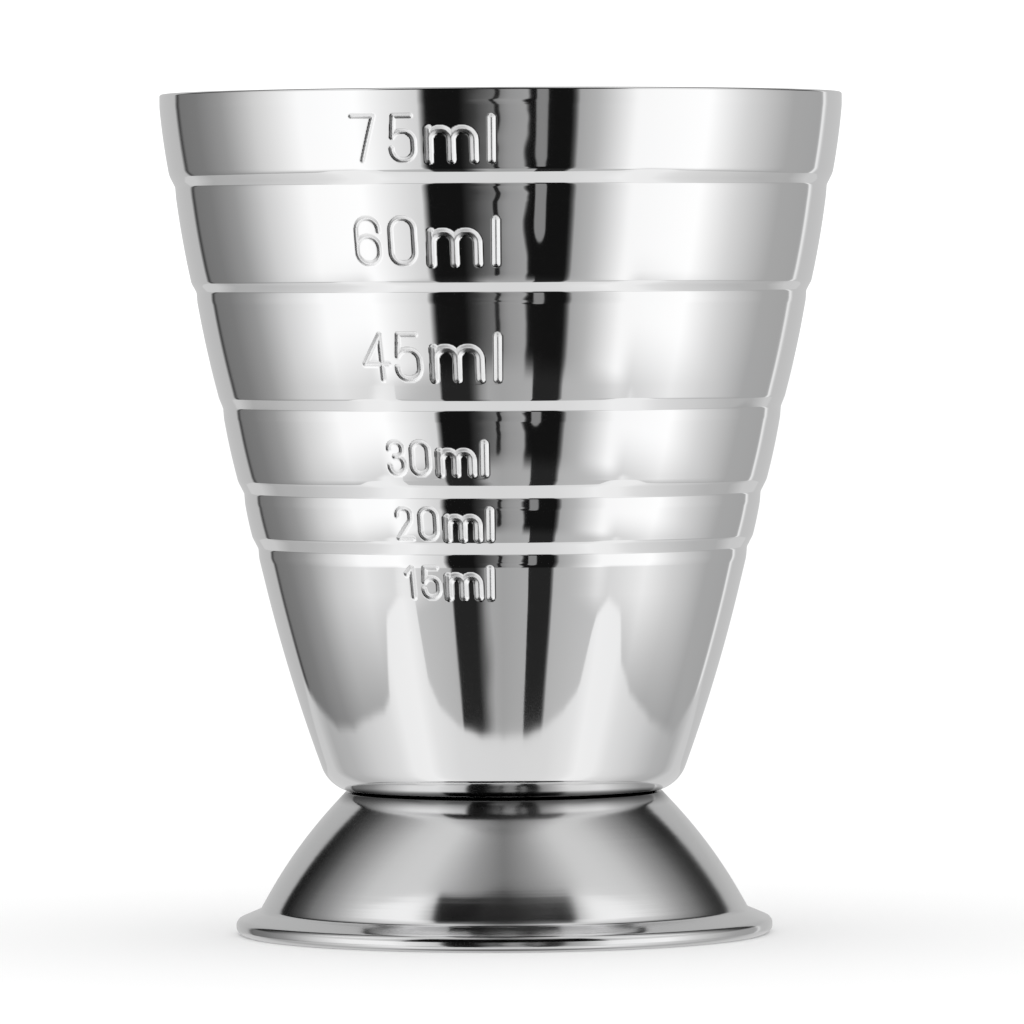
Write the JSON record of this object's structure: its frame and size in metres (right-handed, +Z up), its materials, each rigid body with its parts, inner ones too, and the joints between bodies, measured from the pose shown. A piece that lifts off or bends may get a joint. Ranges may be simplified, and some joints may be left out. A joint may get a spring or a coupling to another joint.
{
  "type": "bar jigger",
  "caption": "Stepped, tapering measuring cup in polished steel, with a volume label stamped over each ledge, on a short flared foot with a folded brim.",
  "frame": {"origin": "centre of the flat ring that the foot stands on", "axes": "+Z up along the turning axis, -Y towards the side that carries the volume labels"},
  "size_m": [0.0536, 0.0536, 0.066],
  "materials": {
    "cup_steel": "mirror-polished stainless steel",
    "foot_steel": "stainless steel, polished over fine turned brushing",
    "weld_steel": "fused stainless steel"
  },
  "bodies": {
    "root": {"cup": "cup_steel", "foot": "foot_steel", "spot_welds": "weld_steel"}
  },
  "joints": []
}
